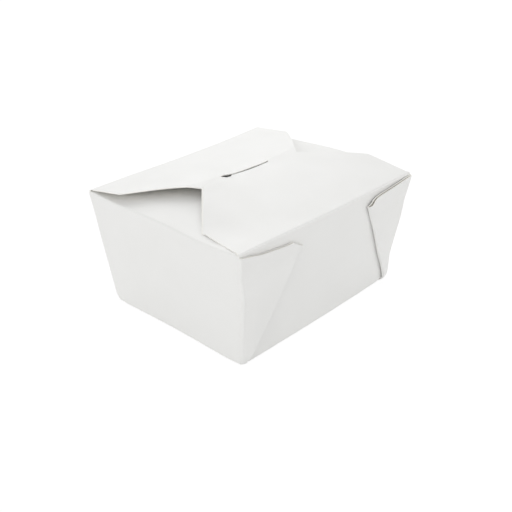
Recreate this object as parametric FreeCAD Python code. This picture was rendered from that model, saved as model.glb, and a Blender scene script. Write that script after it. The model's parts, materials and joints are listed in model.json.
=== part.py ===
import FreeCAD, Part
import math
import os
from FreeCAD import Vector

# A folded paperboard food box with a four-flap lid. It is one die-cut sheet: a base, four flared walls,
# four web corners that keep it leakproof, two short lid flaps and two long ones that lock together.
# Millimetres and degrees. The origin is the middle of the underside, Z is up, X runs along the longer walls,
# and the flap that opens first is hinged on the -Y wall.

# Sheet
board = 0.5  # thickness of the coated paperboard
ply_gap = 0.15  # air between plies that are folded flat on each other

# Body, outside sizes
base_length = 112.5
base_width = 89.0
rim_length = 127.4  # between the end walls' outer faces, at the lid creases
rim_width = 106.0  # between the long walls' outer faces, at the lid creases
height = 63.0  # floor to the long walls' lid creases
base_crease_radius = 1.0

# Web corners: each is folded in two and lies flat against a long wall
web_edge_drop = 3.4  # fall of a web's top edge from the box corner to its chamfer
web_chamfer_width = 6.0
web_chamfer_drop = 2.6
web_foot_flat = 0.1  # what lies flat of a web at the floor, between its bend and its fold

# Lid creases
lid_crease_radius = 1.0
end_crease_drop = 0.6  # the end walls' creases lie this much lower, under the long flaps

# Short flaps, hinged on the end walls
end_flap_depth = 45.0
end_flap_rise = 1.5  # slope above level
end_flap_side_gap = 0.6  # from its crease's ends to the long walls' inner faces
end_flap_taper = 10.0  # how much each side comes in towards the free edge
end_flap_corner = 9.0

# Long flaps. Reaches are level distances from the flap's own crease.
front_rise = 6.9  # slope of the front flap, which lies straight
back_rise = 12.0  # slope of the back flap at its crease, which then arches over
shoulder_inset = 1.8  # how much a short side comes in on its way to the shoulder
front_shoulder_reach = 25.6
front_point_reach = 53.4
point_half_width = 34.0
back_shoulder_reach = 22.3
back_free_half_width = 30.0
flap_corner = 1.5
lid_gap = 0.3  # air between the front flap and the part of the back flap under it

# Lock: a tab on the front flap tucks down through a slot in the back flap
tab_half_width = 13.5
tab_taper = 3.0
tab_depth = 7.0
tab_corner = 3.0
tab_bend_radius = 1.3
tab_reach = 57.4  # level distance from the front crease to the tab's outer face
tab_clearance = 0.35  # air on each side of the tab in its slot
slot_overrun = 3.8  # how far the slot runs past each side of the tab
slot_lip = 9.0  # width of the back flap's free edge in front of the slot
notch_depth = 1.1  # relief notch in the flap's edge on each side of the tab

# What follows from those
up = Vector(0, 0, 1)
end_side = Vector(1, 0, 0)
back_side = Vector(0, 1, 0)
front_side = Vector(0, -1, 0)

end_flare = math.atan((rim_length - base_length) / 2 / height)
side_flare = math.atan((rim_width - base_width) / 2 / height)
end_ply = board / math.cos(end_flare)  # the board measured level
side_ply = board / math.cos(side_flare)
margin = 10.0  # how far cutting tools stand clear of what they cut
above_rim = height + margin / 2  # what is trimmed at the rim is first made up to this level


def half_length(z):
    return base_length / 2 + z * math.tan(end_flare)


def half_width(z):
    return base_width / 2 + z * math.tan(side_flare)


def heading_step(angle):
    return math.cos(math.radians(angle)), math.sin(math.radians(angle))


def seen_edge_on(outward, u, v):
    """Point at distance u from the middle towards one wall and height v."""
    return outward * u + up * v


def walk(start, heading, moves):
    """Places and headings after each move of a path that only runs straight or turns left."""
    u, v = start
    stops = [(u, v, heading)]
    for move in moves:
        if move[0] == "line":
            du, dv = heading_step(heading)
            u, v = u + du * move[1], v + dv * move[1]
        else:
            radius, turn = move[1], move[2]
            left = heading_step(heading + 90)
            centre = (u + left[0] * radius, v + left[1] * radius)
            heading += turn
            left = heading_step(heading + 90)
            u, v = centre[0] - left[0] * radius, centre[1] - left[1] * radius
        stops.append((u, v, heading))
    return stops


def strip(outward, start, heading, moves):
    """The board seen edge on: a path along its outer face, and the same path one board further in."""
    stops = walk(start, heading, moves)

    def place(stop, depth):
        left = heading_step(stop[2] + 90)
        return seen_edge_on(outward, stop[0] + left[0] * depth, stop[1] + left[1] * depth)

    edges = []
    for depth in (0, board):
        for before, after, move in zip(stops, stops[1:], moves):
            ends = (place(before, depth), place(after, depth))
            if move[0] == "line":
                edges.append(Part.LineSegment(*ends).toShape())
            else:
                half = walk(before[:2], before[2], [("bend", move[1], move[2] / 2)])[-1]
                edges.append(Part.Arc(ends[0], place(half, depth), ends[1]).toShape())
    for stop in (stops[0], stops[-1]):
        edges.append(Part.LineSegment(place(stop, 0), place(stop, board)).toShape())
    return Part.Face(Part.Wire(Part.__sortEdges__(edges)))


def widened(face, outward, half):
    """A strip given its width, evenly to both sides of the middle."""
    along = up.cross(outward)
    moved = face.copy()
    moved.translate(along * -half)
    return moved.extrude(along * (2 * half))


def rounded_outline(corners):
    """A closed level outline from (x, y, corner radius), with its corners rounded."""
    edges = []
    ends = []
    count = len(corners)
    for i in range(count):
        here = Vector(corners[i][0], corners[i][1], 0)
        to_last = (Vector(*corners[i - 1][:2], 0) - here).normalize()
        to_next = (Vector(*corners[(i + 1) % count][:2], 0) - here).normalize()
        radius = corners[i][2]
        if radius == 0:
            ends.append((here, here))
            continue
        half_angle = to_last.getAngle(to_next) / 2
        setback = radius / math.tan(half_angle)
        first, last = here + to_last * setback, here + to_next * setback
        middle = (to_last + to_next).normalize()
        centre = here + middle * (radius / math.sin(half_angle))
        edges.append(Part.Arc(first, centre - middle * radius, last).toShape())
        ends.append((first, last))
    for i in range(count):
        edges.append(Part.LineSegment(ends[i][1], ends[(i + 1) % count][0]).toShape())
    return Part.Wire(Part.__sortEdges__(edges))


def mirrored_outline(half_corners):
    """An outline that is the same on both sides of the YZ plane, from its corners on the +X side."""
    other_half = [(-x, y, radius) for x, y, radius in reversed(half_corners)]
    return rounded_outline(half_corners + other_half)


def upright_prism(outline, low, high):
    face = Part.Face(outline)
    face.translate(up * low)
    return face.extrude(up * (high - low))


# Creases at the lid: the wall's outer face and the flap's upper face meet there before rounding
front_turn = 90 + math.degrees(side_flare) - front_rise
back_turn = 90 + math.degrees(side_flare) - back_rise
end_turn = 90 + math.degrees(end_flare) - end_flap_rise
end_height = height - end_crease_drop


def setback(turn):
    """Distance from an unrounded lid crease to where its bend starts."""
    return lid_crease_radius * math.tan(math.radians(turn / 2))


side_trim = max(setback(front_turn), setback(back_turn))  # the long walls stop this far below their creases


def wall_point(half_size, flare, level, below):
    """Point on a wall's outer face, that far down the wall from the level of its crease."""
    return half_size(level) - below * math.sin(flare), level - below * math.cos(flare)


side_start = wall_point(half_width, side_flare, height, side_trim)
end_start = wall_point(half_length, end_flare, end_height, setback(end_turn))
side_heading = 90 - math.degrees(side_flare)
end_heading = 90 - math.degrees(end_flare)

# Each web is folded along the line that halves it, so its crease follows from the flat sheet: the base's square
# corner, the two walls' corners and the web make up a full turn round the foot of the box corner.
corner_edge = Vector(math.tan(end_flare), math.tan(side_flare), 1).normalize()
end_wall_angle = 180 - math.degrees(math.acos(corner_edge.y))
long_wall_angle = 180 - math.degrees(math.acos(corner_edge.x))
half_web_angle = (270 - end_wall_angle - long_wall_angle) / 2
web_crease_angle = long_wall_angle - half_web_angle  # from the long wall's bottom edge
web_run = 1 / math.cos(side_flare) / math.tan(math.radians(web_crease_angle))  # level run per unit of height

# The corner at +X and +Y: where the outer faces of base and walls would meet, and directions there
corner_foot = Vector(base_length / 2, base_width / 2, 0)
wall_across = Vector(-1, 0, 0)
wall_out = Vector(0, math.cos(side_flare), -math.sin(side_flare))
end_out = Vector(math.cos(end_flare), 0, -math.sin(end_flare))

ply_step = board + ply_gap
web_stand = 2 * ply_step  # from the long wall's outer face to the web's
fold_radius = board + ply_gap / 2  # outer radius where the board is folded back on itself
corner_radius = web_stand  # the tightest bend that still goes round the folded plies
cosine = wall_out.dot(end_out)


def to_level(point, along, z):
    """The place where a slanting line through a point reaches a level."""
    return point + along * ((z - point.z) / along.z)


# Axes of a corner's bend and of its web's fold, laid in the long wall's outer face. At the rim the folded edge
# is on the line that halves the web. At the floor it is set off, because the plies need room there.
bend_axis = corner_foot + (wall_out * cosine - end_out) * (corner_radius / (1 - cosine * cosine))
bend_axis = to_level(bend_axis, corner_edge, 0)
fold_inset = fold_radius / math.sin(math.radians(web_crease_angle))  # level distance from folded edge to axis
fold_axis = bend_axis + wall_across * web_foot_flat
fold_axis_top = Vector(base_length / 2 - height * web_run + fold_inset, half_width(height), height)
web_edge = (fold_axis_top - fold_axis).normalize()


def fold_reach(z):
    """How far along X a web's folded edge lies from the middle of the box."""
    return to_level(fold_axis, web_edge, z).x - fold_inset


def bend(axis_point, along, directions, radius):
    """Board bent round a slanting axis. Its section passes through three directions from the axis."""
    outer = [axis_point + direction * radius for direction in directions]
    inner = [axis_point + direction * (radius - board) for direction in directions]
    edges = [Part.Arc(*outer).toShape(), Part.Arc(*inner).toShape()]
    edges += [Part.LineSegment(outer[i], inner[i]).toShape() for i in (0, 2)]
    section = Part.Face(Part.Wire(Part.__sortEdges__(edges)))
    return section.extrude(along * (above_rim / along.z))


def plate(corners, outward, depth):
    """A flat piece of board from the corners of its outer face, which is moved in by a depth first."""
    moved = [corner - outward * depth for corner in corners]
    return Part.Face(Part.makePolygon(moved + moved[:1])).extrude(outward * -board)


def corner_folds():
    """The round turns: end wall into web, web into web, and web into long wall."""
    middle = (end_out + wall_out).normalize()
    to_corner = wall_out.cross(corner_edge).normalize()
    to_middle = web_edge.cross(wall_out).normalize()
    web_axis = fold_axis + wall_out * (ply_step + ply_gap / 2)
    hairpin_axis = bend_axis + wall_out * (ply_gap / 2)
    return [
        bend(bend_axis, corner_edge, (end_out, middle, wall_out), corner_radius),
        bend(web_axis, web_edge, (wall_out, to_middle, wall_out * -1), fold_radius),
        bend(hairpin_axis, corner_edge, (wall_out * -1, to_corner, wall_out), fold_radius),
    ]


def corner_plates():
    """The flat parts: both plies of the web, and the quarter's halves of the long wall and the end wall."""
    ply = [
        bend_axis,
        to_level(bend_axis, corner_edge, above_rim),
        to_level(fold_axis, web_edge, above_rim),
        fold_axis,
    ]
    top = side_start[1]
    long_wall = [
        bend_axis,
        to_level(bend_axis, corner_edge, top),
        Vector(0, half_width(top), top),
        Vector(0, half_width(0), 0),
    ]
    round_end = bend_axis + end_out * corner_radius
    top = end_start[1]
    end_wall = [
        to_level(round_end, corner_edge, 0),
        to_level(round_end, corner_edge, top),
        Vector(half_length(top), 0, top),
        Vector(half_length(0), 0, 0),
    ]
    return [
        plate(ply, wall_out, -web_stand),
        plate(ply, wall_out, -ply_step),
        plate(long_wall, wall_out, 0),
        plate(end_wall, end_out, 0),
    ]


def wall_quarter():
    """One corner with half of each wall beside it, up to where the lid creases start."""
    pieces = corner_folds() + corner_plates()
    quarter = pieces[0].fuse(pieces[1:])
    floor_cut = Part.makeBox(rim_length, rim_width, margin + base_crease_radius, Vector(-margin, -margin, -margin))
    return quarter.cut([floor_cut, web_trimmer(), end_trimmer(), side_trimmer()])


def web_trimmer():
    """Takes away what stands above a web's top edge, and leaves the long wall behind it."""
    corner_x, corner_z = end_start
    point_z = corner_z - web_edge_drop
    low_z = point_z - web_chamfer_drop
    low_x = fold_reach(low_z) + fold_radius
    point_x = low_x + web_chamfer_width
    profile = [
        (corner_x, corner_z),
        (point_x, point_z),
        (low_x, low_z),
        (-rim_length, low_z),
        (-rim_length, height + margin),
        (rim_length, height + margin),
        (rim_length, corner_z),
    ]
    points = [Vector(x, half_width(z) + ply_gap / 2, z) for x, z in profile]
    return Part.Face(Part.makePolygon(points + points[:1])).extrude(back_side * margin)


def slanted_block(outward, start, heading, outside, inside, width):
    """A block that stands square on a wall, from a point on its outer face upwards."""
    left = heading_step(heading + 90)
    rise = heading_step(heading)
    profile = []
    for depth, climb in ((-outside, 0), (inside, 0), (inside, margin), (-outside, margin)):
        u = start[0] + left[0] * depth + rise[0] * climb
        v = start[1] + left[1] * depth + rise[1] * climb
        profile.append(seen_edge_on(outward, u, v))
    return widened(Part.Face(Part.makePolygon(profile + profile[:1])), outward, width)


def end_trimmer():
    inside = board + ply_gap / 2
    return slanted_block(end_side, end_start, end_heading, margin, inside, rim_width)


def side_trimmer():
    return slanted_block(back_side, side_start, side_heading, ply_gap / 2, margin, rim_length)


def mirrored(shape, normal):
    return shape.mirror(Vector(0, 0, 0), normal)


def walls():
    corner = wall_quarter()
    back_half = corner.fuse(mirrored(corner, end_side))
    return back_half.fuse(mirrored(back_half, back_side))


def flared_block(end_inset, side_outset, low, high):
    """A block whose sides lean as the walls do."""
    blocks = []
    for outward, size, offset in ((end_side, half_length, -end_inset), (back_side, half_width, side_outset)):
        below, above = size(low) + offset, size(high) + offset
        ends = [(-below, low), (below, low), (above, high), (-above, high)]
        corners = [seen_edge_on(outward, u, v) for u, v in ends]
        blocks.append(widened(Part.Face(Part.makePolygon(corners + corners[:1])), outward, rim_length))
    return blocks[0].common(blocks[1])


def rounded_below(block, low, crease_radius):
    bottom = [e for e in block.Edges if abs(e.BoundBox.ZMax - low) < board / 10]
    return block.makeFillet(crease_radius, bottom)


def base():
    """The base panel with its four creases, and the creased lumps where the webs come to a point."""
    top = base_crease_radius
    deep = top + margin  # the blocks reach past the walls' start, and are cut off there
    plain = rounded_below(flared_block(0, 0, 0, deep), 0, base_crease_radius)
    full = flared_block(0, web_stand / math.cos(side_flare), 0, deep)
    uprights = [e for e in full.Edges if abs(e.Vertexes[0].Z - e.Vertexes[1].Z) > top]
    full = rounded_below(full.makeFillet(corner_radius, uprights), 0, base_crease_radius)
    hollow = rounded_below(flared_block(end_ply, -side_ply, board, deep + margin), board, base_crease_radius - board)
    low_corner = Vector(fold_reach(top), half_width(0) - corner_radius, -margin)
    corner = Part.makeBox(margin, margin, deep + 2 * margin, low_corner)
    left = mirrored(corner, end_side)
    corners = [corner, left, mirrored(corner, back_side), mirrored(left, back_side)]
    lumps = [full.common(c) for c in corners]
    solid = plain.cut(corners).fuse(lumps)
    above = Part.makeBox(2 * rim_length, 2 * rim_width, 3 * margin, Vector(-rim_length, -rim_width, top))
    return solid.cut([hollow, above])


def end_flap(outward):
    """A short flap with its crease, wider at the crease than at its rounded free edge."""
    moves = [("bend", lid_crease_radius, end_turn), ("line", end_flap_depth)]
    crease_half = half_width(end_height) - side_ply - end_flap_side_gap
    sheet = widened(strip(outward, end_start, end_heading, moves), outward, crease_half)
    crease_x = half_length(end_height)
    free_x = crease_x - end_flap_depth
    full_x = crease_x - 2 * lid_crease_radius
    corners = [
        (crease_x + margin, crease_half, 0),
        (full_x, crease_half, 0),
        (free_x, crease_half - end_flap_taper, end_flap_corner),
    ]
    outline = corners + [(x, -y, radius) for x, y, radius in reversed(corners)]
    keep = upright_prism(rounded_outline(outline), 0, height + margin)
    if outward.x < 0:
        keep = mirrored(keep, end_side)
    return sheet.common(keep)


crease_half_length = half_length(side_start[1]) - corner_radius + board
front_crease = half_width(height)  # level distance from the middle to each long crease


def front_plane(level, below):
    """Height of the front flap's upper face less a depth square to it, at a level distance behind its crease."""
    slope = math.radians(front_rise)
    return height + level * math.tan(slope) - below / math.cos(slope)


def crease(turn, share):
    """Moves from a long wall's trimmed top round that share of its lid crease."""
    moves = [("line", side_trim - setback(turn)), ("bend", lid_crease_radius, turn * share)]
    return [move for move in moves if move[1] > 0]


# The front flap turns about the middle of its crease's outer face
wall_half_crease = crease(front_turn, 1 / 2)
hinge_u, hinge_v, hinge_heading = walk(side_start, side_heading, wall_half_crease)[-1]
front_start = walk(side_start, side_heading, crease(front_turn, 1))[-1]

# The tab bends down a little before its outer face, and leans so that it stays on a circle round the hinge
tab_lean = math.degrees(math.asin(tab_depth / 2 / tab_reach))
tab_turn = 90 + tab_lean
slope_cos = math.cos(math.radians(front_rise))
tab_start = tab_reach - tab_bend_radius * slope_cos  # level distance from the crease to the start of the bend
slot_front = tab_reach - (board + tab_clearance) * slope_cos
slot_back = tab_reach + tab_clearance * slope_cos


def front_flap():
    """The long flap that opens first, from the outer half of its crease to the tab."""
    crease_bend = ("bend", lid_crease_radius, front_turn / 2)
    from_start = front_start[0] - front_crease
    full_run = (tab_start + from_start) / slope_cos
    begin = (hinge_u, hinge_v)
    plate_moves = [crease_bend, ("line", full_run + tab_bend_radius)]
    tab_moves = [crease_bend, ("line", full_run), ("bend", tab_bend_radius, tab_turn), ("line", tab_depth)]
    plate = widened(strip(front_side, begin, hinge_heading, plate_moves), front_side, rim_length / 2)
    tab = widened(strip(front_side, begin, hinge_heading, tab_moves), front_side, tab_half_width)

    crease_y = -front_crease
    slot_half = tab_half_width + slot_overrun
    outline = mirrored_outline(
        [
            (crease_half_length, crease_y - margin, 0),
            (crease_half_length, crease_y, 0),
            (crease_half_length - shoulder_inset, crease_y + front_shoulder_reach, flap_corner),
            (point_half_width, crease_y + front_point_reach, flap_corner),
            (slot_half, crease_y + slot_back, 0),
            (tab_half_width, crease_y + slot_back - notch_depth, 0),
            (tab_half_width, crease_y + tab_start, 0),
        ]
    )
    plate = plate.common(upright_prism(outline, 0, height + 3 * margin))
    return plate.fuse(tab.common(tab_shape())).removeSplitter()


def tab_shape():
    """What the tab looks like from the front: narrower at the bottom, with round corners."""
    top = front_plane(tab_start, 0)
    low = front_plane(tab_reach, tab_bend_radius + tab_depth) - board
    root = front_plane(tab_reach, board + lid_gap)
    narrow = tab_half_width - tab_taper
    outline = mirrored_outline(
        [(tab_half_width, top + margin, 0), (tab_half_width, root, 0), (narrow, low + board / 2, tab_corner)]
    )
    face = Part.Face(outline)
    face.rotate(Vector(0, 0, 0), end_side, 90)
    face.translate(Vector(0, tab_start - front_crease, 0))
    return face.extrude(back_side * margin)


def back_flap():
    """The other long flap. It arches up to the slot, then follows the underside of the front flap."""
    crease_moves = crease(back_turn, 1)
    arch_u, arch_v, arch_heading = walk(side_start, side_heading, crease_moves)[-1]
    ridge_level = slot_back + 2 * board
    ridge_u = ridge_level - front_crease  # towards the back wall
    ridge_v = front_plane(ridge_level, board + lid_gap)
    run, rise = arch_u - ridge_u, ridge_v - arch_v
    chord = math.hypot(run, rise)
    chord_slope = math.degrees(math.atan2(rise, run))
    half_turn = back_rise - chord_slope
    arch_radius = chord / 2 / math.sin(math.radians(half_turn))
    ridge_turn = 180 + front_rise - (arch_heading + 2 * half_turn)
    free_u = slot_front - front_crease - slot_lip
    moves = crease_moves + [
        ("bend", arch_radius, 2 * half_turn),
        ("bend", 2 * board, ridge_turn),
        ("line", (ridge_u - free_u) / slope_cos + margin),
    ]
    sheet = widened(strip(back_side, side_start, side_heading, moves), back_side, rim_length / 2)
    outline = mirrored_outline(
        [
            (crease_half_length, front_crease + margin, 0),
            (crease_half_length, front_crease, 0),
            (crease_half_length - shoulder_inset, front_crease - back_shoulder_reach, flap_corner),
            (back_free_half_width, free_u, flap_corner),
        ]
    )
    slot_half = tab_half_width + slot_overrun
    slot = Part.makeBox(
        2 * slot_half,
        slot_back - slot_front,
        3 * margin,
        Vector(-slot_half, slot_front - front_crease, height - margin),
    )
    return sheet.common(upright_prism(outline, 0, height + 3 * margin)).cut(slot)


def front_wall_crease():
    """The half of the front crease that stays with the wall. The flap's half meets it on a flat cut."""
    sheet = strip(front_side, side_start, side_heading, wall_half_crease)
    return widened(sheet, front_side, crease_half_length)


def carton():
    """Base, walls, webs, both short flaps and the back flap, all one piece of board."""
    pieces = [base(), end_flap(end_side), end_flap(-end_side), back_flap(), front_wall_crease()]
    return walls().fuse(pieces).removeSplitter()


def main():
    os.makedirs("parts", exist_ok=True)
    for name, shape in (("carton", carton()), ("front_flap", front_flap())):
        print(name, shape.ShapeType, "solids", len(shape.Solids), "valid", shape.isValid(),
              "volume", round(shape.Volume, 1), "faces", len(shape.Faces))
        shape.exportStep(os.path.join("parts", name + ".step"))
    print("hinge line at y", round(-hinge_u, 4), "z", round(hinge_v, 4))


main()
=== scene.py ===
import json
import math
import bpy
import bmesh
import numpy as np
from mathutils import Matrix, Vector
from mathutils.bvhtree import BVHTree

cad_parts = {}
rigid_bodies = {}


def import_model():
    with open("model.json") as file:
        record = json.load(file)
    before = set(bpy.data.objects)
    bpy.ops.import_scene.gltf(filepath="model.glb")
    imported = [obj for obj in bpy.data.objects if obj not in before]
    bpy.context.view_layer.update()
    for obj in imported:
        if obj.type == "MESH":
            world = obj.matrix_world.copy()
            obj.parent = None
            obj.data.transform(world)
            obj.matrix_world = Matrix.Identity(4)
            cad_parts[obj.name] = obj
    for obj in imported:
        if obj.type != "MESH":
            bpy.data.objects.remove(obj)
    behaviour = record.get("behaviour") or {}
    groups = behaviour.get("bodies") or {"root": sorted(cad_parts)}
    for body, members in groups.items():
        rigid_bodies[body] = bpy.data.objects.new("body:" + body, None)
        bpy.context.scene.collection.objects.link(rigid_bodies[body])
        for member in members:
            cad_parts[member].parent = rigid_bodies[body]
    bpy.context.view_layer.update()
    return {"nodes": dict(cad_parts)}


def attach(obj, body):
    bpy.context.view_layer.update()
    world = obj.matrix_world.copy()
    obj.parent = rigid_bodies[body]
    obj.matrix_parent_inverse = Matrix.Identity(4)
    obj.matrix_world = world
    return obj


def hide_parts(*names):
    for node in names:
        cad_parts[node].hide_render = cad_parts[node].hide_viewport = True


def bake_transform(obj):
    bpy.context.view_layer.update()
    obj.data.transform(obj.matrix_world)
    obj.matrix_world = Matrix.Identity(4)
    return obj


for stray in list(bpy.data.objects):
    bpy.data.objects.remove(stray)
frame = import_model()
scene = bpy.context.scene
scene.view_settings.view_transform = "Standard"
mm = 0.001  # lengths below are in millimetres unless a note says otherwise


def smooth(low, high, value):
    share = min(1.0, max(0.0, (value - low) / (high - low)))
    return share * share * (3.0 - 2.0 * share)


# the box as it was folded: the walls lean out from the base to the rim
boxShape = {
    "height": 63.0,
    "baseHalfLength": 56.25,
    "baseHalfWidth": 44.5,
    "rimHalfLength": 63.7,
    "rimHalfWidth": 53.0,
    "webFoldFoot": 56.0,            # from the middle of the box to a web's fold, at the floor
    "webFoldTop": (22.9, 55.2),     # the same at the fold's upper end, and how high that is
    "flapRise": 6.9,                # slope of the front flap, in degrees
    "slantStart": (-60.9, -27.5),   # the front flap's slanting edge by the camera, from shoulder to point
    "slantEnd": (-34.0, 0.4),
}
slantInward = Vector((0.72, -0.694, 0.0))  # square to that edge, into the flap


def wallHalfWidth(z):
    share = z / boxShape["height"]
    return boxShape["baseHalfWidth"] + (boxShape["rimHalfWidth"] - boxShape["baseHalfWidth"]) * share


def wallHalfLength(z):
    share = z / boxShape["height"]
    return boxShape["baseHalfLength"] + (boxShape["rimHalfLength"] - boxShape["baseHalfLength"]) * share


def wallLean():
    return math.atan2(boxShape["rimHalfWidth"] - boxShape["baseHalfWidth"], boxShape["height"])


# how far a place lies outside the outer face of the nearer long wall
def outsideWall(y, z):
    return (abs(y) - wallHalfWidth(z)) * math.cos(wallLean())


# from the middle of the box to the fold of a web
def webFoldAt(z):
    foot = boxShape["webFoldFoot"]
    top, topHeight = boxShape["webFoldTop"]
    return foot - (foot - top) * z / topHeight


# from the front flap's slanting edge, square to it
def fromSlantingEdge(x, y):
    (startX, startY), (endX, endY) = boxShape["slantStart"], boxShape["slantEnd"]
    length = math.hypot(endX - startX, endY - startY)
    return ((x - startX) * (endY - startY) - (y - startY) * (endX - startX)) / length


# where the folded box has come out of true: a place on it, and how far it lies from the square shape
outOfTrue = [
    ((-55.8, -45.2, 0.0), (-1.8, 0.9, 0.0)),
    ((-56.0, 45.2, 0.0), (-0.4, -0.2, 0.0)),
    ((55.8, -45.2, 0.0), (-1.3, 0.2, 0.0)),
    ((56.0, 45.2, 0.0), (0.0, 0.0, 0.0)),
    ((0.0, 0.0, 0.0), (0.0, 0.0, 0.0)),
    ((-63.1, -53.7, 62.3), (-1.0, 1.0, 0.4)),
    ((-63.4, 53.0, 62.2), (0.8, 0.7, 0.0)),
    ((63.4, -53.9, 62.2), (-0.3, -0.5, 0.3)),
    ((63.2, 53.0, 62.7), (-0.6, 2.0, 0.0)),
    ((-60.9, -27.5, 66.0), (-0.8, 0.3, -0.7)),
    ((60.9, -27.5, 66.0), (0.5, 0.3, 1.3)),
    ((-34.0, 0.4, 69.5), (0.1, 0.3, 1.5)),
    ((63.5, 16.0, 62.4), (0.0, 0.0, 0.5)),
    ((34.0, 0.4, 69.5), (0.0, 0.0, -0.1)),
    ((-60.9, 30.7, 67.0), (-0.4, 0.4, 0.0)),
    ((-42.0, 8.5, 69.0), (0.0, 0.0, 1.75)),
    ((60.9, 30.7, 67.0), (0.3, -0.6, -0.6)),
    ((-17.3, 4.6, 69.4), (-0.4, -0.4, 0.4)),
    ((17.3, 4.6, 69.4), (-1.1, -1.2, -0.4)),
]
outOfTrueReach = 34.0  # each of these shifts fades out over about this distance


def solveOutOfTrue():
    places = np.array([place for place, shift in outOfTrue])
    shifts = np.array([shift for place, shift in outOfTrue])
    apart = np.linalg.norm(places[:, None] - places[None], axis=2)
    return places, np.linalg.solve(np.exp(-((apart / outOfTrueReach) ** 2)), shifts)


truePlaces, trueWeights = solveOutOfTrue()

# how the stiff board has relaxed since it was folded; a list of pairs gives a value from place to place
boardRelax = {
    "longWallBow": 0.5,
    "endWallBow": 0.6,
    "baseEdgeBow": [                      # how far the front wall's bottom edge stands out, along the wall
        (-58.5, 0.0), (-51.0, 2.6), (-42.0, 2.5), (-20.0, 2.1),
        (0.0, 1.8), (30.0, 1.4), (46.0, 1.0), (57.0, 0.0),
    ],
    "baseBowHeight": 56.0,                # the bottom edge's bow fades out up to this height
    "cornerTuck": (0.4, 1.0, 0.3),        # shift of a web's foot at the base's corner, in, in and up
    "cornerClose": (1.0, 0.6),            # how far the ends of the lid creases reach to close the corners
}

webRelax = {
    "opening": 0.6,                       # a web's two plies stand apart along their top edges
    "standOff": 0.55,                     # and apart from the wall
    "foldOpening": 0.35,                  # what the far web has of each besides, beside its fold
    "foldStandOff": 0.25,
    "spring": 0.12,                       # lower down a web springs out from the wall by this much
    "footSpring": 0.62,                   # and by this share of its thickness
    "lowestSpring": 0.3,                  # more of that share at the floor
    "nearWebSpring": 0.93,                # the least share for the web beside the camera
    "farFold": (4.8, 0.35),               # shift of the far web's fold, along the wall and up
    "farFoldShare": [(0.0, 0.68), (10.0, 0.76), (20.0, 0.66), (55.2, 1.0)],   # how much of it, by height
    "farTopRise": 1.1,
    "nearTopRise": [                      # of the near web's top edge, along the wall
        (-63.0, 0.2), (-58.0, -0.5), (-48.5, -1.4), (-38.0, -1.5),
        (-33.0, -1.4), (-30.0, -1.0), (-23.0, -2.4), (-14.0, 0.0),
    ],
    "nearPoint": (-30.0, -0.5),           # where that edge turns to its end, and its shift along the wall
}

lidRelax = {
    "flapHalfWidth": [(-52.5, 62.8), (-27.0, 61.0), (0.4, 34.0)],   # the front flap's, from its crease
    "shoulderDroop": (2.9, 2.7, -2.05),   # its near shoulder lies on the end flap
    "droopShare": [(-53.0, 0.0), (-50.0, 0.2), (-40.0, 0.72), (-27.0, 1.0), (-8.0, 0.25), (0.0, 0.0)],
    "tabShift": 2.2,                      # the tab has slid along its slot
    "notchPull": (-1.8, 0.5),             # so the near notch beside it is open and the far one shut
    "edgePress": 0.45,                    # the front flap's free edge is pressed on the back flap
    "edgeTurn": 0.4,                      # its slanting edge is crushed by the die, so it turns down
    "edgeBand": 1.5,                      # over this width
    "edgeFeather": (-0.648, 0.621, 0.0),  # and its lower side stands out past its upper one by this
    "endFlapLift": 0.9,
    "slotOpening": [(-15.5, 1.35), (-9.5, 0.25), (4.0, 0.25), (14.0, -0.2)],   # along the slot
    "slotLift": 0.3,                      # of its back edge
    "slotLipPull": 1.3,                   # of its front edge, under the front flap
}


# a value that eases from stop to stop, level beyond them
def eased(x, stops):
    if x <= stops[0][0]:
        return stops[0][1]
    for (low, first), (high, second) in zip(stops, stops[1:]):
        if x <= high:
            return first + (second - first) * smooth(low, high, x)
    return stops[-1][1]


def wallBow(x, y, z):
    upright = math.sin(math.pi * min(1.0, max(0.0, z / boxShape["height"])))
    nearLong = smooth(0.88, 0.97, abs(y) / wallHalfWidth(z))
    nearEnd = smooth(0.88, 0.97, abs(x) / wallHalfLength(z))
    alongLong = max(0.0, 1.0 - (x / wallHalfLength(z)) ** 2)
    alongEnd = max(0.0, 1.0 - (y / wallHalfWidth(z)) ** 2)
    outX = math.copysign(boardRelax["endWallBow"], x) * nearEnd * upright * alongEnd
    outY = math.copysign(boardRelax["longWallBow"], y) * nearLong * upright * alongLong
    if y < 0.0:
        low = max(0.0, 1.0 - z / boardRelax["baseBowHeight"])
        outY -= eased(x, boardRelax["baseEdgeBow"]) * low * nearLong
    return Vector((outX, outY, 0.0))


# the foot of each web at the base's corner
def footShift(x, y, z):
    inX, inY, up = boardRelax["cornerTuck"]
    atCorner = smooth(46.0, 54.0, abs(x)) * smooth(38.0, 43.5, abs(y)) * (1.0 - smooth(0.0, 4.5, z))
    onWeb = smooth(0.2, 0.8, outsideWall(y, z))
    return Vector((-math.copysign(inX, x), -math.copysign(inY, y) * onWeb, up * onWeb)) * atCorner


# extra room in each gap of a web: next to the wall, and between its two plies
def plyOpening(x, z):
    fromFold = abs(x) - webFoldAt(z)
    fromCorner = wallHalfLength(z) - abs(x)
    spread = smooth(-2.5, 2.0, fromFold) * smooth(38.0, 60.0, z)
    spread *= 0.45 + 0.55 * smooth(1.0, 9.0, fromCorner)
    spring = webRelax["spring"] * (1.0 - spread)
    if x < 0.0:
        spread *= 0.5
        return webRelax["standOff"] * spread - spring, webRelax["opening"] * spread
    atFold = (1.0 - smooth(3.0, 13.0, fromFold)) * spread
    standOff = webRelax["standOff"] * spread - spring + webRelax["foldStandOff"] * atFold
    return standOff, webRelax["opening"] * spread + webRelax["foldOpening"] * atFold


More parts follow.
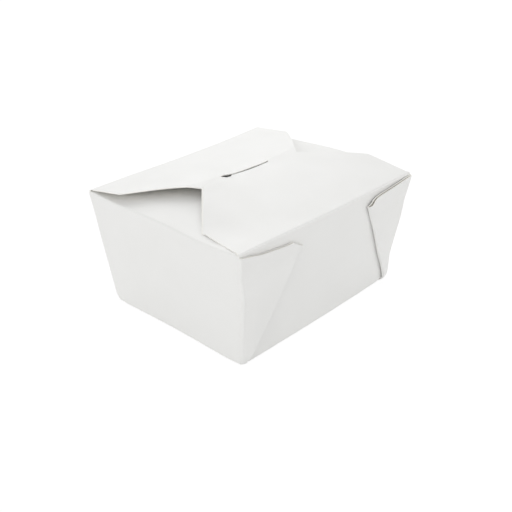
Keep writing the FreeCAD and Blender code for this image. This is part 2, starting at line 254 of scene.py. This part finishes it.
# the share of a web's thickness by which it springs out at its foot
def footSpring(x, y, z):
    share = webRelax["footSpring"] * (1.0 - 0.15 * smooth(0.0, 16.0, z)) * (1.0 - smooth(36.0, 53.0, z))
    share += webRelax["lowestSpring"] * (1.0 - smooth(0.0, 9.0, z))
    if x < 0.0 and y < 0.0:
        share = max(share, webRelax["nearWebSpring"] * (1.0 - smooth(38.0, 53.0, z)))
    return share


# how the front wall's webs lie off their places, along the wall and up
def frontWebShift(x, z):
    hold = 1.0 - smooth(60.0, 62.2, z)
    if x > 0.0:
        nearFold = 1.0 - smooth(0.0, 14.0, abs(x - webFoldAt(z)))
        along, up = webRelax["farFold"]
        along *= eased(z, webRelax["farFoldShare"])
        topEdge = smooth(26.0, 36.0, x) + 0.4 * smooth(48.0, 60.0, x)
        rise = (up * nearFold + webRelax["farTopRise"] * topEdge) * smooth(45.0, 55.0, z)
        return along * nearFold * hold, rise * hold
    top = smooth(44.0, 54.0, z) * hold
    pointX, pointShift = webRelax["nearPoint"]
    along = pointShift * (1.0 - smooth(0.0, 7.0, abs(x - pointX)))
    return along * top, eased(x, webRelax["nearTopRise"]) * top


# shift of a web's plies, which lie on the outside of a long wall
def webPlyShift(x, y, z):
    outside = outsideWall(y, z)
    if z >= 62.6 or outside <= -0.8:
        return Vector((0.0, 0.0, 0.0))
    lean = wallLean()
    first, second = plyOpening(x, z)
    part = first * smooth(0.0, 0.15, outside) + second * smooth(0.65, 0.80, outside)
    part -= max(0.0, outside) * footSpring(x, y, z)
    # part is above zero where a web opens at its top and below it where its foot springs; both go outwards
    shift = Vector((0.0, math.copysign(part * math.cos(lean), y), -part * math.sin(lean)))
    if y < 0.0:
        along, up = frontWebShift(x, z)
        shift += Vector((along, -up * math.tan(lean), up))
    return shift


# the lid's creases run on to the box's corners
def cornerShift(x, y, z, part):
    endReach, longReach = boardRelax["cornerClose"]
    shift = Vector((0.0, 0.0, 0.0))
    if part == "carton" and 61.2 < z < 62.9 and abs(y) < 51.85:
        shift.y = math.copysign(endReach, y) * smooth(49.5, 51.8, abs(y)) * smooth(59.5, 62.0, abs(x))
    elif abs(y) > 50.2:
        atCrease = smooth(61.3, 62.0, z) * smooth(50.2, 51.8, abs(y))
        shift.x = math.copysign(longReach, x) * smooth(59.0, 62.7, abs(x)) * atCrease
    return shift


def frontFlapShift(x, y, z):
    fromSide = eased(y, lidRelax["flapHalfWidth"]) + x
    droop = (1.0 - smooth(-2.0, 26.0, fromSide)) * eased(y, lidRelax["droopShare"])
    shift = Vector(lidRelax["shoulderDroop"]) * droop
    shift.x += lidRelax["tabShift"] * (1.0 - smooth(13.4, 17.2, abs(x))) * smooth(1.5, 3.0, y)
    if y > 0.5 and abs(x) > 13.6:
        pull = lidRelax["notchPull"][0 if x < 0.0 else 1]
        shift.y += pull * (1.0 - smooth(16.4, 17.6, abs(x))) * smooth(0.5, 3.0, y)
    shift.z -= lidRelax["edgePress"] * (1.0 - smooth(18.0, 26.0, abs(x))) * smooth(-8.0, 3.0, y)
    fromEdge = fromSlantingEdge(x, y)
    turned = (1.0 - smooth(0.0, lidRelax["edgeBand"], fromEdge)) * smooth(-52.0, -32.0, y)
    shift.z -= lidRelax["edgeTurn"] * turned
    rise = math.tan(math.radians(boxShape["flapRise"]))
    upperSide = boxShape["height"] + (y + boxShape["rimHalfWidth"]) * rise
    if x < -30.0 and z < upperSide - 0.25:
        shift += Vector(lidRelax["edgeFeather"]) * (1.0 - smooth(0.0, 0.4, fromEdge))
    return shift


# the end flaps, and the back flap beside its slot
def cartonLidShift(x, y, z):
    shift = Vector((0.0, 0.0, 0.0))
    if z < 64.3 and abs(y) < 48.0:
        inset = boxShape["rimHalfLength"] - abs(x)
        shift.z += lidRelax["endFlapLift"] * smooth(0.8, 12.0, inset) * (1.0 - smooth(34.0, 46.0, abs(y)))
    if z > 67.0 and y > 4.2:
        inSlot = 1.0 - smooth(16.0, 19.0, abs(x))
        shift.y += eased(x, lidRelax["slotOpening"]) * inSlot * (1.0 - smooth(4.7, 9.5, y))
        shift.z += lidRelax["slotLift"] * inSlot * (1.0 - smooth(4.7, 12.0, y))
    elif z > 67.0 and y > 0.0:
        inSlot = 1.0 - smooth(15.5, 17.3, abs(x))
        shift.y -= lidRelax["slotLipPull"] * inSlot * smooth(0.5, 3.4, y)
    return shift


def relaxed(point, part):
    x, y, z = point
    moved = Vector(point) + wallBow(x, y, z) + footShift(x, y, z) + webPlyShift(x, y, z)
    moved += cornerShift(x, y, z, part)
    if part == "frontFlap":
        moved += frontFlapShift(x, y, z)
    elif z > 61.8:
        moved += cartonLidShift(x, y, z)
    apart = np.linalg.norm(truePlaces - np.array((x, y, z)), axis=1)
    moved += Vector(np.exp(-((apart / outOfTrueReach) ** 2)) @ trueWeights)
    return moved


# how each solid's mesh is cut up and finished
sheetMesh = {
    "cellSize": 3.0,              # the board is cut to cells of this size, so that flat panels can bend
    "cellShift": 0.31,            # so that no cut falls on an edge of the board
    "slantCuts": (0.45, 1.5),     # two more cuts beside the front flap's slanting edge
    "foldBand": (0.6, 2.8),       # beside a fold, handling wear and painted shade show fully to the first and fade to the second
    "rawEdgeDepth": 0.9,          # a face with more board than this behind it is a cut edge
    "rawEdgeHeight": 50.0,        # if it lies above this
    "sharpAngle": 32.0,           # degrees
    "creaseOutward": (0.79, 0.61),    # which way the board's outer face looks on a lid crease, out and up
    "foldOutward": (0.857, 0.514),    # and on the fold of a web, in along the wall and down
}
# the second finish is the cut edge with a painted highlight, the third the inner side with painted shade
highlightedRawEdge, innerShadedFace = 1, 2  # places in boardFinishes; the coated face has the first


def inMillimetres(node):
    mesh = bmesh.new()
    mesh.from_mesh(frame["nodes"][node].data)
    bmesh.ops.scale(mesh, vec=(1.0 / mm,) * 3, verts=mesh.verts)
    bmesh.ops.remove_doubles(mesh, verts=mesh.verts, dist=0.01)
    bmesh.ops.dissolve_limit(
        mesh, angle_limit=math.radians(0.2), verts=mesh.verts, edges=mesh.edges, delimit=set()
    )
    return mesh


def cutThrough(mesh, point, normal, faces=None):
    chosen = list(mesh.faces) if faces is None else faces
    edges = {edge for face in chosen for edge in face.edges}
    verts = {vert for face in chosen for vert in face.verts}
    bmesh.ops.bisect_plane(
        mesh, geom=list(verts) + list(edges) + chosen, dist=0.002, plane_co=point, plane_no=normal
    )


def cutToCells(mesh):
    step = sheetMesh["cellSize"]
    for axis in range(3):
        low = min(vert.co[axis] for vert in mesh.verts)
        high = max(vert.co[axis] for vert in mesh.verts)
        place = math.ceil(low / step) * step + sheetMesh["cellShift"]
        normal = Vector((0.0, 0.0, 0.0))
        normal[axis] = 1.0
        while place < high:
            cutThrough(mesh, normal * place, normal)
            place += step


# how much board lies behind a face, by the least of three rays side by side
def boardBehind(tree, centre, normal):
    least = 1000.0
    for shift in ((0.0, 0.0, 0.0), (0.031, 0.017, 0.013), (-0.023, 0.029, -0.011)):
        start = centre + Vector(shift) - normal * (0.01 + Vector(shift).dot(normal))
        hit = tree.ray_cast(start, -normal)
        if hit[0] is not None:
            least = min(least, hit[3])
    return least if least < 1000.0 else 0.0


def markFinishes(mesh, part):
    mesh.normal_update()
    tree = BVHTree.FromBMesh(mesh)
    for face in mesh.faces:
        centre = face.calc_center_median()
        if onWebFold(centre, face.normal):
            continue
        high = centre.z > sheetMesh["rawEdgeHeight"]
        if high and boardBehind(tree, centre, face.normal) > sheetMesh["rawEdgeDepth"]:
            face.material_index = highlightedRawEdge
        elif isInside(centre, face.normal, part):
            face.material_index = innerShadedFace


# the outside of the bend where a web turns back on itself, which is coated
def onWebFold(place, normal):
    x, y, z = place
    along, down = sheetMesh["foldOutward"]
    outward = normal.x * -math.copysign(along, x) - normal.z * down
    return outsideWall(y, z) > 0.02 and z < 61.5 and abs(abs(x) - webFoldAt(z)) < 3.0 and outward > 0.12


# the uncoated side of the board; in a web it faces itself between the two plies
def isInside(place, normal, part):
    x, y, z = place
    out, up = sheetMesh["creaseOutward"]
    if part == "frontFlap" and y > 3.4:
        return normal.y + normal.z < 0.0
    if z > 61.9:
        if abs(y) > 51.0:
            return math.copysign(out, y) * normal.y + up * normal.z < 0.0
        if abs(x) > 61.5:
            return math.copysign(out, x) * normal.x + up * normal.z < 0.0
        return normal.z < 0.0
    if wallHalfLength(z) - abs(x) < 2.0:
        return normal.x * math.copysign(1.0, x) + normal.y * math.copysign(1.0, y) < 0.0
    outside = outsideWall(y, z)
    if outside > -1.2:
        return outside < -0.25 or 0.4 < outside < 1.05
    return normal.z > 0.0


def distanceToFold(point):
    x, y, z = point
    sideWall = abs(abs(y) - wallHalfWidth(z))
    endWall = abs(abs(x) - wallHalfLength(z))
    rim = abs(z - boxShape["height"])
    corner = math.hypot(sideWall, endWall)
    top = math.hypot(rim, min(sideWall, endWall))
    bottom = math.hypot(z, min(sideWall, endWall))
    return min(corner, top, bottom)


def finishSheet(mesh, name, part):
    # how near each place lies to a fold: the mask for handling wear and painted shade along folds, creases
    # and corners
    fold = mesh.verts.layers.float.new("fold")
    for vert in mesh.verts:
        vert[fold] = 1.0 - smooth(*sheetMesh["foldBand"], distanceToFold(vert.co))
    for vert in mesh.verts:
        vert.co = relaxed(vert.co, part) * mm
    for face in mesh.faces:
        face.smooth = True
    data = bpy.data.meshes.new(name)
    mesh.to_mesh(data)
    mesh.free()
    data.set_sharp_from_angle(angle=math.radians(sheetMesh["sharpAngle"]))
    piece = bpy.data.objects.new(name, data)
    scene.collection.objects.link(piece)
    for material in boardFinishes:
        data.materials.append(material)
    weighted = piece.modifiers.new("flatPanels", "WEIGHTED_NORMAL")
    weighted.keep_sharp = True
    weighted.weight = 90
    return piece


# effects that more than one finish of the board uses
grainLook = {
    "cloudScale": 60.0,
    "cloudDetail": 5.0,
    "cloudRoughness": 0.55,
    "fibreScale": 2600.0,
    "fibreDetail": 3.0,
    "fibreDistortion": 1.2,
}

wearAndShadeLook = {
    "scale": 900.0,
    "detail": 4.0,
    "spots": (0.42, 0.68),   # the range of the noise over which wear and painted shade set in
}


def newGroup(name, inputs, outputs):
    group = bpy.data.node_groups.new(name, "ShaderNodeTree")
    for label, kind, value in inputs:
        socket = group.interface.new_socket(name=label, in_out="INPUT", socket_type=kind)
        if value is not None:
            socket.default_value = value
    for label, kind in outputs:
        group.interface.new_socket(name=label, in_out="OUTPUT", socket_type=kind)
    return group, group.nodes.new("NodeGroupInput"), group.nodes.new("NodeGroupOutput")


def paperGrainGroup():
    group, given, result = newGroup(
        "paperGrain",
        [
            ("Vector", "NodeSocketVector", None),
            ("Cloud Size", "NodeSocketFloat", 1.0),
            ("Fibre Size", "NodeSocketFloat", 1.0),
        ],
        [("Cloud", "NodeSocketFloat"), ("Fibre", "NodeSocketFloat")],
    )
    nodes, links = group.nodes, group.links
    cloudScale = nodes.new("ShaderNodeMath")
    cloudScale.operation = "DIVIDE"
    cloudScale.inputs[0].default_value = grainLook["cloudScale"]
    links.new(given.outputs["Cloud Size"], cloudScale.inputs[1])
    cloud = nodes.new("ShaderNodeTexNoise")
    cloud.inputs["Detail"].default_value = grainLook["cloudDetail"]
    cloud.inputs["Roughness"].default_value = grainLook["cloudRoughness"]
    links.new(given.outputs["Vector"], cloud.inputs["Vector"])
    links.new(cloudScale.outputs[0], cloud.inputs["Scale"])
    fibreScale = nodes.new("ShaderNodeMath")
    fibreScale.operation = "DIVIDE"
    fibreScale.inputs[0].default_value = grainLook["fibreScale"]
    links.new(given.outputs["Fibre Size"], fibreScale.inputs[1])
    fibre = nodes.new("ShaderNodeTexNoise")
    fibre.inputs["Detail"].default_value = grainLook["fibreDetail"]
    fibre.inputs["Distortion"].default_value = grainLook["fibreDistortion"]
    links.new(given.outputs["Vector"], fibre.inputs["Vector"])
    links.new(fibreScale.outputs[0], fibre.inputs["Scale"])
    links.new(cloud.outputs["Fac"], result.inputs["Cloud"])
    links.new(fibre.outputs["Fac"], result.inputs["Fibre"])
    return group


# handling wear in broken spots along the folds, darker there, which also paints shade into the creases and
# corners
def foldWearAndShadeGroup():
    group, given, result = newGroup(
        "foldWearAndShade",
        [
            ("Fold", "NodeSocketFloat", 0.0),
            ("Vector", "NodeSocketVector", None),
            ("Amount", "NodeSocketFloat", 1.0),
        ],
        [("WearAndShade", "NodeSocketFloat")],
    )
    nodes, links = group.nodes, group.links
    broken = nodes.new("ShaderNodeTexNoise")
    broken.inputs["Scale"].default_value = wearAndShadeLook["scale"]
    broken.inputs["Detail"].default_value = wearAndShadeLook["detail"]
    links.new(given.outputs["Vector"], broken.inputs["Vector"])
    spots = nodes.new("ShaderNodeMapRange")
    spots.inputs["From Min"].default_value = wearAndShadeLook["spots"][0]
    spots.inputs["From Max"].default_value = wearAndShadeLook["spots"][1]
    links.new(broken.outputs["Fac"], spots.inputs["Value"])
    onFold = nodes.new("ShaderNodeMath")
    onFold.operation = "MULTIPLY"
    links.new(given.outputs["Fold"], onFold.inputs[0])
    links.new(spots.outputs["Result"], onFold.inputs[1])
    wearAndShade = nodes.new("ShaderNodeMath")
    wearAndShade.operation = "MULTIPLY"
    links.new(onFold.outputs[0], wearAndShade.inputs[0])
    links.new(given.outputs["Amount"], wearAndShade.inputs[1])
    links.new(wearAndShade.outputs[0], result.inputs["WearAndShade"])
    return group


paperGrain = paperGrainGroup()
foldWearAndShade = foldWearAndShadeGroup()


def placed(nodes, group, values):
    node = nodes.new("ShaderNodeGroup")
    node.node_tree = group
    for label, value in values.items():
        node.inputs[label].default_value = value
    return node


def mixColor(nodes, links, mask, first, second):
    mix = nodes.new("ShaderNodeMix")
    mix.data_type = "RGBA"
    for socket, value in ((mix.inputs[6], first), (mix.inputs[7], second)):
        if isinstance(value, tuple):
            socket.default_value = value + (1.0,)
        else:
            links.new(value, socket)
    links.new(mask, mix.inputs[0])
    return mix.outputs[2]


# the clay-coated white face of the board, on the outside of the box
coatedBoardLook = {
    "white": (0.885, 0.885, 0.87),
    "cloudedWhite": (0.865, 0.863, 0.845),
    # handled folds: handling wear, with painted shade along the folds
    "shadedHandledFold": (0.80, 0.79, 0.765),
    "roughness": 0.48,
    "roughnessSpread": 0.10,
    "fibreHeight": 0.00002,   # metres
    "foldWearAndShade": 0.22,
    "ior": 1.46,
    "reliefStrength": 0.6,
}

# the inner side: the same board with a thin film and no clay, so a little warmer and duller; its colour is
# also painted darker and warmer, as painted shade and warm bounced light inside the box and between a web's
# plies
innerBoardShadeLook = {
    "white": (0.87, 0.85, 0.80),
    "cloudedWhite": (0.85, 0.825, 0.77),
    "shadedHandledFold": (0.80, 0.775, 0.72),
    "roughness": 0.6,
    "roughnessSpread": 0.12,
    "fibreHeight": 0.00004,   # metres
    "foldWearAndShade": 0.35,
    "ior": 1.46,
    "reliefStrength": 0.6,
}


def boardMaterial(name, look):
    material = bpy.data.materials.new(name)
    material.use_nodes = True
    nodes, links = material.node_tree.nodes, material.node_tree.links
    shader = nodes["Principled BSDF"]
    shader.inputs["IOR"].default_value = look["ior"]
    place = nodes.new("ShaderNodeTexCoord")
    grain = placed(nodes, paperGrain, {})
    links.new(place.outputs["Object"], grain.inputs["Vector"])
    fold = nodes.new("ShaderNodeAttribute")
    fold.attribute_name = "fold"
    wearAndShade = placed(nodes, foldWearAndShade, {"Amount": look["foldWearAndShade"]})
    links.new(place.outputs["Object"], wearAndShade.inputs["Vector"])
    links.new(fold.outputs["Fac"], wearAndShade.inputs["Fold"])
    clouded = mixColor(nodes, links, grain.outputs["Cloud"], look["white"], look["cloudedWhite"])
    # darker along the folds: handling wear and painted shade
    handledAndShaded = mixColor(nodes, links, wearAndShade.outputs["WearAndShade"], clouded, look["shadedHandledFold"])
    links.new(handledAndShaded, shader.inputs["Base Color"])
    gloss = nodes.new("ShaderNodeMapRange")
    gloss.inputs["From Min"].default_value = 0.25
    gloss.inputs["From Max"].default_value = 0.75
    gloss.inputs["To Min"].default_value = look["roughness"] - look["roughnessSpread"] / 2
    gloss.inputs["To Max"].default_value = look["roughness"] + look["roughnessSpread"] / 2
    links.new(grain.outputs["Cloud"], gloss.inputs["Value"])
    links.new(gloss.outputs["Result"], shader.inputs["Roughness"])
    relief = nodes.new("ShaderNodeBump")
    relief.inputs["Strength"].default_value = look["reliefStrength"]
    relief.inputs["Distance"].default_value = look["fibreHeight"]
    links.new(grain.outputs["Fibre"], relief.inputs["Height"])
    links.new(relief.outputs["Normal"], shader.inputs["Normal"])
    return material


# the board's cut edge, where its bare cream fibres show, painted brighter than the coated face as a painted
# highlight, so that the edge reads as a lit line
highlightedRawEdgeLook = {
    "fibreLight": (0.95, 0.94, 0.905),
    "fibreDark": (0.925, 0.91, 0.875),
    "roughness": 0.95,
    "specular": 0.25,
    "fibreHeight": 0.00006,   # metres
    "cloudSize": 0.2,         # times those of the board's faces
    "fibreSize": 1.4,
    "reliefStrength": 0.8,
}


def highlightedRawEdgeMaterial():
    look = highlightedRawEdgeLook
    material = bpy.data.materials.new("highlightedRawEdge")
    material.use_nodes = True
    nodes, links = material.node_tree.nodes, material.node_tree.links
    shader = nodes["Principled BSDF"]
    shader.inputs["Roughness"].default_value = look["roughness"]
    shader.inputs["Specular IOR Level"].default_value = look["specular"]
    place = nodes.new("ShaderNodeTexCoord")
    grain = placed(nodes, paperGrain, {"Cloud Size": look["cloudSize"], "Fibre Size": look["fibreSize"]})
    links.new(place.outputs["Object"], grain.inputs["Vector"])
    fibres = mixColor(nodes, links, grain.outputs["Cloud"], look["fibreLight"], look["fibreDark"])
    links.new(fibres, shader.inputs["Base Color"])
    relief = nodes.new("ShaderNodeBump")
    relief.inputs["Strength"].default_value = look["reliefStrength"]
    relief.inputs["Distance"].default_value = look["fibreHeight"]
    links.new(grain.outputs["Fibre"], relief.inputs["Height"])
    links.new(relief.outputs["Normal"], shader.inputs["Normal"])
    return material


boardFinishes = [
    boardMaterial("coatedBoard", coatedBoardLook),
    highlightedRawEdgeMaterial(),
    boardMaterial("innerBoardWithShade", innerBoardShadeLook),
]
print("finishes of the board are ready")

# the crease between the carton and the front flap
frontCrease = {
    "hinge": (0.0, -52.6646, 62.7407),    # on the outer face, half way round the bend
    "outerNormal": (0.0, -0.791, 0.611),
    "wallRun": 2.4,                       # how much wall and flap go with the crease, from the hinge
    "flapRun": 2.4,
    "halfLength": 62.79,                  # short of the webs' bends round the box's corners
}


def creaseCuts():
    lean = wallLean()
    rise = math.radians(boxShape["flapRise"])
    wallUp = Vector((0.0, -math.sin(lean), math.cos(lean)))
    flapIn = Vector((0.0, math.cos(rise), math.sin(rise)))
    hinge = Vector(frontCrease["hinge"])
    wallCut = hinge - wallUp * frontCrease["wallRun"]
    flapCut = hinge + flapIn * frontCrease["flapRun"]
    return hinge, wallUp, flapIn, wallCut, flapCut


# on the front wall's own board, near its top
def isFrontPly(place):
    outside = outsideWall(place.y, place.z)
    high = place.y < -50.0 and place.z > 55.0
    return high and -0.6 < outside < 0.06 and abs(place.x) < frontCrease["halfLength"]


def faceMiddle(face):
    return face.calc_center_median()


def takeFaces(mesh, faces):
    taken = bmesh.new()
    made = {}
    for face in faces:
        corners = []
        for vert in face.verts:
            if vert not in made:
                made[vert] = taken.verts.new(vert.co)
            corners.append(made[vert])
        copy = taken.faces.new(corners)
        copy.material_index = face.material_index
    bmesh.ops.delete(mesh, geom=faces, context="FACES")
    return taken


def splitCrease(carton, frontFlap):
    hinge, wallUp, flapIn, wallCut, flapCut = creaseCuts()
    cutThrough(carton, wallCut, wallUp, [face for face in carton.faces if isFrontPly(faceMiddle(face))])
    cutThrough(frontFlap, flapCut, flapIn)
    onPly = [face for face in carton.faces if isFrontPly(faceMiddle(face))]
    onWall = [face for face in onPly if (faceMiddle(face) - wallCut).dot(wallUp) > 0.0]
    onFlap = [face for face in frontFlap.faces if (faceMiddle(face) - flapCut).dot(flapIn) < 0.0]
    strip = takeFaces(carton, onWall)
    other = takeFaces(frontFlap, onFlap)
    other.verts.index_update()
    verts = [strip.verts.new(vert.co) for vert in other.verts]
    for face in other.faces:
        copy = strip.faces.new([verts[vert.index] for vert in face.verts])
        copy.material_index = face.material_index
    other.free()
    # the two faces where the solids part, inside the crease
    strip.normal_update()
    across = Vector((1.0, 0.0, 0.0)).cross(Vector(frontCrease["outerNormal"]))
    middle = [
        face for face in strip.faces
        if abs((faceMiddle(face) - hinge).dot(across)) < 0.02 and abs(face.normal.dot(across)) > 0.95
    ]
    print("crease: faces between the solids", len(middle), "of", len(strip.faces))
    bmesh.ops.delete(strip, geom=middle, context="FACES")
    bmesh.ops.remove_doubles(strip, verts=strip.verts, dist=0.02)
    return strip


# the sheet in its three pieces: carton, front flap and the crease between them
carton = inMillimetres("carton")
frontFlap = inMillimetres("front_flap")
for inward in sheetMesh["slantCuts"]:
    cutThrough(frontFlap, Vector(boxShape["slantStart"] + (0.0,)) + slantInward * inward, slantInward)
for sheet, part in ((carton, "carton"), (frontFlap, "frontFlap")):
    cutToCells(sheet)
    markFinishes(sheet, part)
crease = splitCrease(carton, frontFlap)
print("board cut to cells:", len(carton.faces), len(frontFlap.faces), len(crease.faces), "faces")

cartonSheet = finishSheet(carton, "cartonSheet", "carton")
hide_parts("carton")
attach(cartonSheet, "carton")
frontFlapSheet = finishSheet(frontFlap, "frontFlapSheet", "frontFlap")
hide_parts("front_flap")
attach(frontFlapSheet, "front_flap")
frontCreaseStrip = finishSheet(crease, "frontCreaseStrip", "frontFlap")
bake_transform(frontCreaseStrip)
print("sheets are folded and finished")

# floor, light and camera
studio = {
    "floorHalfSize": 2.5,          # metres
    "floorColor": (0.84, 0.84, 0.84),
    "floorRoughness": 0.9,
    "floorWhite": 1.1,             # strength of the white that covers the floor for the camera
    "backgroundShare": 0.8,        # how much of the floor's own shading the white covers
    "worldStrength": 0.64,
    "topLight": {"power": 6.9, "size": 1.2, "place": (0.8, 0.95, 0.9)},
    "leftLight": {"power": 4.7, "size": 1.0, "place": (-1.25, -0.3, 0.45)},
    "rightLight": {"power": 4.15, "size": 1.0, "place": (0.95, -1.15, 0.35)},
    "aim": (0.0, 0.0, 0.03),       # where every lamp points
}


def backgroundRays(nodes, links):
    path = nodes.new("ShaderNodeLightPath")
    seen = path.outputs["Is Camera Ray"]
    for label in ("Is Glossy Ray", "Is Transmission Ray"):
        either = nodes.new("ShaderNodeMath")
        either.operation = "MAXIMUM"
        links.new(seen, either.inputs[0])
        links.new(path.outputs[label], either.inputs[1])
        seen = either.outputs[0]
    return seen


def buildFloor():
    half = studio["floorHalfSize"]
    data = bpy.data.meshes.new("studioFloor")
    corners = [(-half, -half, 0), (half, -half, 0), (half, half, 0), (-half, half, 0)]
    data.from_pydata(corners, [], [(0, 1, 2, 3)])
    floor = bpy.data.objects.new("studioFloor", data)
    scene.collection.objects.link(floor)
    material = bpy.data.materials.new("studioFloor")
    material.use_nodes = True
    nodes, links = material.node_tree.nodes, material.node_tree.links
    shader = nodes["Principled BSDF"]
    shader.inputs["Base Color"].default_value = studio["floorColor"] + (1.0,)
    shader.inputs["Roughness"].default_value = studio["floorRoughness"]
    white = nodes.new("ShaderNodeEmission")
    white.inputs["Strength"].default_value = studio["floorWhite"]
    share = nodes.new("ShaderNodeMath")
    share.operation = "MULTIPLY"
    share.inputs[1].default_value = studio["backgroundShare"]
    links.new(backgroundRays(nodes, links), share.inputs[0])
    mix = nodes.new("ShaderNodeMixShader")
    links.new(share.outputs[0], mix.inputs[0])
    links.new(shader.outputs[0], mix.inputs[1])
    links.new(white.outputs[0], mix.inputs[2])
    links.new(mix.outputs[0], nodes["Material Output"].inputs["Surface"])
    data.materials.append(material)


def buildWorld():
    world = bpy.data.worlds.new("studioWorld")
    scene.world = world
    world.use_nodes = True
    nodes, links = world.node_tree.nodes, world.node_tree.links
    soft = nodes["Background"]
    soft.inputs["Strength"].default_value = studio["worldStrength"]
    soft.inputs["Color"].default_value = (1.0, 1.0, 1.0, 1.0)
    white = nodes.new("ShaderNodeBackground")
    white.inputs["Strength"].default_value = 1.0
    white.inputs["Color"].default_value = (1.0, 1.0, 1.0, 1.0)
    mix = nodes.new("ShaderNodeMixShader")
    links.new(backgroundRays(nodes, links), mix.inputs[0])
    links.new(soft.outputs[0], mix.inputs[1])
    links.new(white.outputs[0], mix.inputs[2])
    links.new(mix.outputs[0], nodes["World Output"].inputs["Surface"])


def addLight(name):
    look = studio[name]
    data = bpy.data.lights.new(name, "AREA")
    data.shape = "DISK"
    data.size = look["size"]
    data.energy = look["power"]
    light = bpy.data.objects.new(name, data)
    light.location = look["place"]
    light.rotation_euler = (Vector(studio["aim"]) - light.location).to_track_quat("-Z", "Y").to_euler()
    scene.collection.objects.link(light)


buildFloor()
buildWorld()
for lamp in ("topLight", "leftLight", "rightLight"):
    addLight(lamp)

viewpoint = {
    "place": (-0.310207, -0.290088, 0.241403),   # metres
    "azimuth": -47.128,                          # degrees, as are the next two
    "elevation": 27.528,
    "roll": -0.397,
    "lens": 63.198,                              # millimetres, as is the next one
    "sensor": 36.0,
}


def buildCamera():
    turn = math.radians(viewpoint["azimuth"])
    lift = math.radians(viewpoint["elevation"])
    roll = math.radians(viewpoint["roll"])
    back = Vector((math.sin(turn) * math.cos(lift), -math.cos(turn) * math.cos(lift), math.sin(lift)))
    level = Vector((math.cos(turn), math.sin(turn), 0.0))
    upward = back.cross(level)
    right = level * math.cos(roll) + upward * math.sin(roll)
    up = upward * math.cos(roll) - level * math.sin(roll)
    data = bpy.data.cameras.new("camera")
    data.lens = viewpoint["lens"]
    data.sensor_width = viewpoint["sensor"]
    data.clip_start = 0.01
    data.clip_end = 20.0
    camera = bpy.data.objects.new("camera", data)
    facing = Matrix((right, up, back)).transposed().to_4x4()
    camera.matrix_world = Matrix.Translation(viewpoint["place"]) @ facing
    scene.collection.objects.link(camera)
    scene.camera = camera


buildCamera()
print("floor, light and camera are placed")
